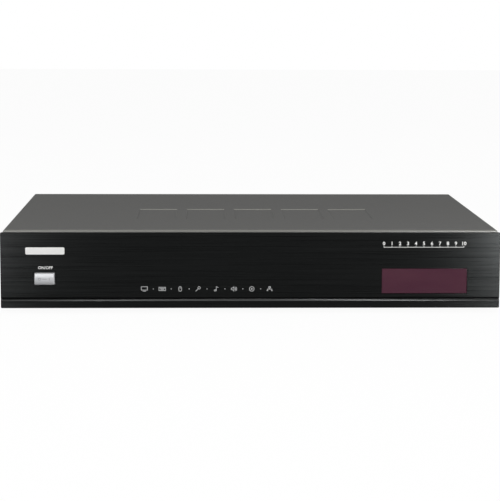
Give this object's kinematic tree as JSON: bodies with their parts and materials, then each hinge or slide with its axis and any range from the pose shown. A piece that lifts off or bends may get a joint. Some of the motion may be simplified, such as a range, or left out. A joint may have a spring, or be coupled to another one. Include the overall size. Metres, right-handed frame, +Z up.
{
  "type": "karaoke player",
  "caption": "Full-width set-top karaoke player: black brushed front with a push button and display window, grey folded steel case, hard disk, circuit boards, fan and rear sockets.",
  "frame": {"origin": "middle of the footprint, on the surface that the feet stand on", "axes": "+X to the viewer's right along the front, +Y from the front to the rear, +Z up"},
  "size_m": [0.43, 0.3118, 0.0725],
  "materials": {
    "black_brushed_aluminium": "brushed, black anodised",
    "grey_powder_coat": "satin powder coat",
    "black_powder_coat": "satin powder coat",
    "zinc_steel": "zinc plated",
    "black_moulding": "fine moulded grain",
    "tinted_acrylic": "polished, tinted dark red",
    "satin_silver": "satin silver paint",
    "white_nylon": "moulded",
    "display_plastic": "moulded",
    "dark_epoxy": "moulded",
    "green_board": "solder mask",
    "brown_board": "bare laminate",
    "black_rubber": "matt",
    "black_screws": "black oxide",
    "bright_screws": "zinc plated",
    "brass": "turned",
    "capacitor_sleeve": "shrink sleeve",
    "ferrite_and_tape": "taped",
    "extruded_aluminium": "extruded",
    "fuse_glass": "clear",
    "wire_insulation": "extruded",
    "socket_plate": "nickel plated",
    "blue_socket": "moulded",
    "jack_plating": "plated",
    "jack_colours": "moulded",
    "battery_steel": "polished",
    "black_ribbon": "extruded",
    "grey_ribbon": "extruded",
    "red_cable": "extruded",
    "cast_aluminium": "die cast",
    "drive_steel": "satin",
    "machined_aluminium": "machined",
    "platter_mirror": "mirror polished",
    "fan_plastic": "moulded"
  },
  "bodies": {
    "case": {"front_plate": "black_brushed_aluminium", "front_frame": "black_moulding", "display_window": "tinted_acrylic", "front_board": "green_board", "display_module": "display_plastic", "ir_receiver": "dark_epoxy", "front_board_screws": "bright_screws", "power_switch": "black_moulding", "chassis_base": "zinc_steel", "rear_panel": "black_powder_coat", "top_cover": "grey_powder_coat", "cover_screws": "black_screws", "rear_panel_screws": "black_screws", "front_screws": "bright_screws", "foot_front_left": "black_rubber", "foot_front_right": "black_rubber", "foot_rear_left": "black_rubber", "foot_rear_right": "black_rubber", "foot_screws": "bright_screws", "power_board": "brown_board", "board_standoffs": "brass", "board_screws": "bright_screws", "bulk_capacitor": "capacitor_sleeve", "power_transformer": "ferrite_and_tape", "line_filter_choke": "ferrite_and_tape", "power_heat_sinks": "extruded_aluminium", "mains_fuse": "fuse_glass", "small_capacitors": "capacitor_sleeve", "mains_inlet": "black_moulding", "mains_wires": "wire_insulation", "main_board": "green_board", "main_chips": "dark_epoxy", "heat_sink": "extruded_aluminium", "clock_battery": "battery_steel", "board_headers": "white_nylon", "hdmi_socket": "socket_plate", "vga_socket": "blue_socket", "lan_socket": "socket_plate", "usb_sockets": "socket_plate", "jack_block": "black_moulding", "jack_shells": "jack_plating", "jack_inserts": "jack_colours", "dc_harness": "black_ribbon", "front_ribbon_cable": "grey_ribbon", "disk_carrier": "zinc_steel", "disk_grommets": "black_rubber", "disk_screws": "bright_screws", "disk_housing": "cast_aluminium", "disk_lid": "drive_steel", "disk_circuit_board": "green_board", "spindle_motor": "drive_steel", "voice_coil_magnets": "drive_steel", "disk_cables": "red_cable", "fan_frame": "black_moulding"},
    "push_button": {"power_button": "satin_silver", "switch_plunger": "white_nylon"},
    "disk_stack": {"spindle_hub": "machined_aluminium", "platters": "platter_mirror"},
    "arm_assembly": {"head_arms": "machined_aluminium"},
    "fan_impeller": {"fan_rotor": "fan_plastic"}
  },
  "joints": [
    {"name": "power_button_press", "type": "slide", "parent": "case", "child": "push_button", "axis": [0, 1, 0], "range_m": [0, 0.003], "stiffness_N_per_m": 500},
    {"name": "disk_spin", "type": "hinge", "parent": "case", "child": "disk_stack", "pos_m": [0.1555, 0.0001, 0.025], "axis": [0, 0, 1], "continuous": true},
    {"name": "head_arm_swing", "type": "hinge", "parent": "case", "child": "arm_assembly", "pos_m": [0.1755, -0.0529, 0.025], "axis": [0, 0, -1], "range_deg": [0, 32]},
    {"name": "fan_spin", "type": "hinge", "parent": "case", "child": "fan_impeller", "pos_m": [0.15, 0.1401, 0.04], "axis": [0, 1, 0], "continuous": true}
  ]
}
